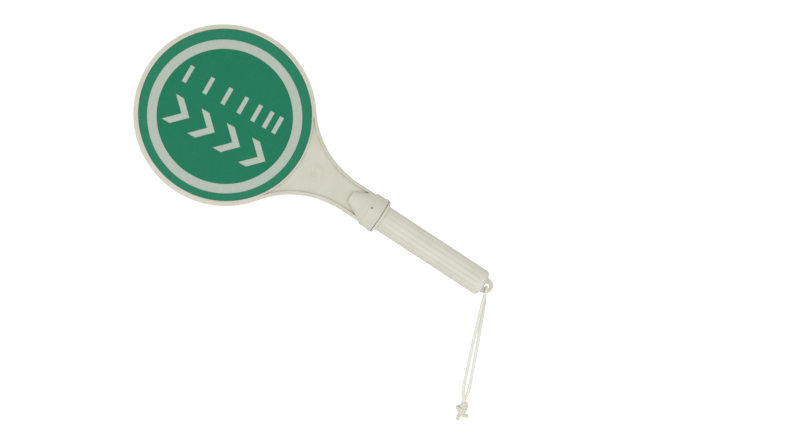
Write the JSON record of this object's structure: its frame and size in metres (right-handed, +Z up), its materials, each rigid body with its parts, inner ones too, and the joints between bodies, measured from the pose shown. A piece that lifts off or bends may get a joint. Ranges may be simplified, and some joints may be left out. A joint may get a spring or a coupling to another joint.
{
  "type": "stop slow paddle",
  "caption": "Hand-held traffic paddle: round two-faced head on a flared neck, ribbed grip pinned into its collar, and a knotted cord wrist loop through the lug at the grip's end.",
  "frame": {"origin": "on the handle's axis, where the straight barrel of the grip begins under the flange", "axes": "+Z up the handle to the head, -Y out of the front (green) face, +X to the right as the front is looked at"},
  "size_m": [0.242, 0.0418, 0.5048],
  "materials": {
    "cream_plastic": "satin injection-moulded, cream",
    "cream_grip_plastic": "satin injection-moulded, cream",
    "reflective_sheet": "retroreflective sheeting, pale grey",
    "green_film": "translucent overlay film, satin green",
    "red_film": "translucent overlay film, satin red",
    "pin_steel": "dull steel",
    "cord": "braided cord, off-white"
  },
  "bodies": {
    "paddle": {"head_frame": "cream_plastic", "front_reflective_sheet": "reflective_sheet", "front_border_film": "green_film", "front_field_film": "green_film", "rear_reflective_sheet": "reflective_sheet", "rear_border_film": "red_film", "rear_field_film": "red_film", "rear_symbol_film": "red_film", "grip": "cream_grip_plastic", "locking_pin": "pin_steel"},
    "lanyard_eye": {"lanyard_eye": "cord"},
    "lanyard_upper": {"lanyard_upper": "cord"},
    "lanyard_middle": {"lanyard_middle": "cord"},
    "lanyard_lower": {"lanyard_lower": "cord"},
    "lanyard_knot": {"lanyard_knot": "cord", "lanyard_tails": "cord"}
  },
  "joints": [
    {"name": "lanyard_swing", "type": "hinge", "parent": "paddle", "child": "lanyard_eye", "pos_m": [0, 0, -0.1392], "axis": [0, 1, 0], "range_deg": [-164.2, 25.8]},
    {"name": "lanyard_tilt", "type": "hinge", "parent": "lanyard_eye", "child": "lanyard_upper", "pos_m": [-0.01215, 0, -0.14382], "axis": [0.3551, 0, -0.9348], "range_deg": [-50, 50]},
    {"name": "lanyard_bend_upper", "type": "hinge", "parent": "lanyard_upper", "child": "lanyard_middle", "pos_m": [-0.04814, 0, -0.15749], "axis": [0, 1, 0], "range_deg": [-50, 50]},
    {"name": "lanyard_bend_lower", "type": "hinge", "parent": "lanyard_middle", "child": "lanyard_lower", "pos_m": [-0.0846, 0, -0.17134], "axis": [0, 1, 0], "range_deg": [-50, 50]},
    {"name": "knot_bend", "type": "hinge", "parent": "lanyard_lower", "child": "lanyard_knot", "pos_m": [-0.12012, 0, -0.18483], "axis": [0, 1, 0], "range_deg": [-30, 30]}
  ]
}
